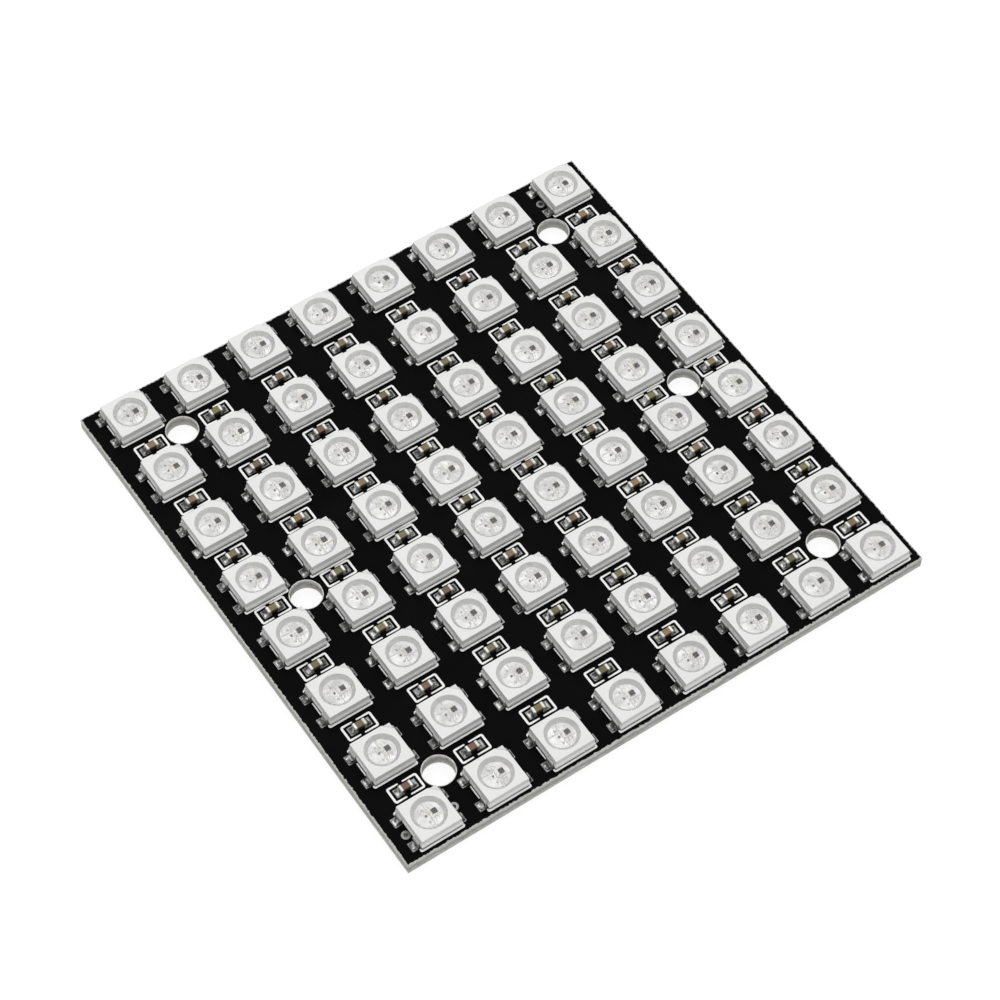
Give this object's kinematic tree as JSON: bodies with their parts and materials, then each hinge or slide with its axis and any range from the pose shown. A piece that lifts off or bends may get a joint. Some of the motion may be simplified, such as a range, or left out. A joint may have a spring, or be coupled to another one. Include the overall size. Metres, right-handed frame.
{
  "type": "led dot matrix board",
  "caption": "Flat square circuit board with a grid of surface-mounted colour LED packages, small capacitors between rows and screw holes.",
  "frame": {"origin": "middle of the board's underside", "axes": "+X along the packages' columns count, +Y from each package towards its capacitor, +Z out of the lit face"},
  "size_m": [0.065, 0.065, 0.0032],
  "materials": {
    "laminate": "cut glass-fibre laminate",
    "solder_mask": "semi-gloss black solder mask",
    "tinned_copper": "tin-plated copper",
    "legend_ink": "white printed ink",
    "led_housing": "white moulded reflector plastic",
    "lead_strip": "silver-plated copper strip",
    "resin": "slightly milky clear resin",
    "driver_chip": "dark silicon",
    "red_die": "semiconductor crystal",
    "green_die": "semiconductor crystal",
    "blue_die": "semiconductor crystal",
    "capacitor_ceramic": "fired ceramic",
    "capacitor_terminal": "tinned end",
    "solder": "reflowed solder"
  },
  "bodies": {
    "root": {"board_laminate": "laminate", "solder_mask_top": "solder_mask", "solder_mask_bottom": "solder_mask", "led_lands": "tinned_copper", "capacitor_lands": "tinned_copper", "wire_lands": "tinned_copper", "plated_holes": "tinned_copper", "led_outline_print": "legend_ink", "capacitor_bracket_print": "legend_ink", "led_housings_row_1": "led_housing", "led_housings_row_2": "led_housing", "led_housings_row_3": "led_housing", "led_housings_row_4": "led_housing", "led_housings_row_5": "led_housing", "led_housings_row_6": "led_housing", "led_housings_row_7": "led_housing", "led_housings_row_8": "led_housing", "led_leads_row_1": "lead_strip", "led_leads_row_2": "lead_strip", "led_leads_row_3": "lead_strip", "led_leads_row_4": "lead_strip", "led_leads_row_5": "lead_strip", "led_leads_row_6": "lead_strip", "led_leads_row_7": "lead_strip", "led_leads_row_8": "lead_strip", "led_resin_row_1": "resin", "led_resin_row_2": "resin", "led_resin_row_3": "resin", "led_resin_row_4": "resin", "led_resin_row_5": "resin", "led_resin_row_6": "resin", "led_resin_row_7": "resin", "led_resin_row_8": "resin", "driver_chips": "driver_chip", "red_dies": "red_die", "green_dies": "green_die", "blue_dies": "blue_die", "capacitor_bodies_row_1": "capacitor_ceramic", "capacitor_bodies_row_2": "capacitor_ceramic", "capacitor_bodies_row_3": "capacitor_ceramic", "capacitor_bodies_row_4": "capacitor_ceramic", "capacitor_bodies_row_5": "capacitor_ceramic", "capacitor_bodies_row_6": "capacitor_ceramic", "capacitor_bodies_row_7": "capacitor_ceramic", "capacitor_terminals_row_1": "capacitor_terminal", "capacitor_terminals_row_2": "capacitor_terminal", "capacitor_terminals_row_3": "capacitor_terminal", "capacitor_terminals_row_4": "capacitor_terminal", "capacitor_terminals_row_5": "capacitor_terminal", "capacitor_terminals_row_6": "capacitor_terminal", "capacitor_terminals_row_7": "capacitor_terminal", "led_solder": "solder", "capacitor_solder": "solder"}
  },
  "joints": []
}
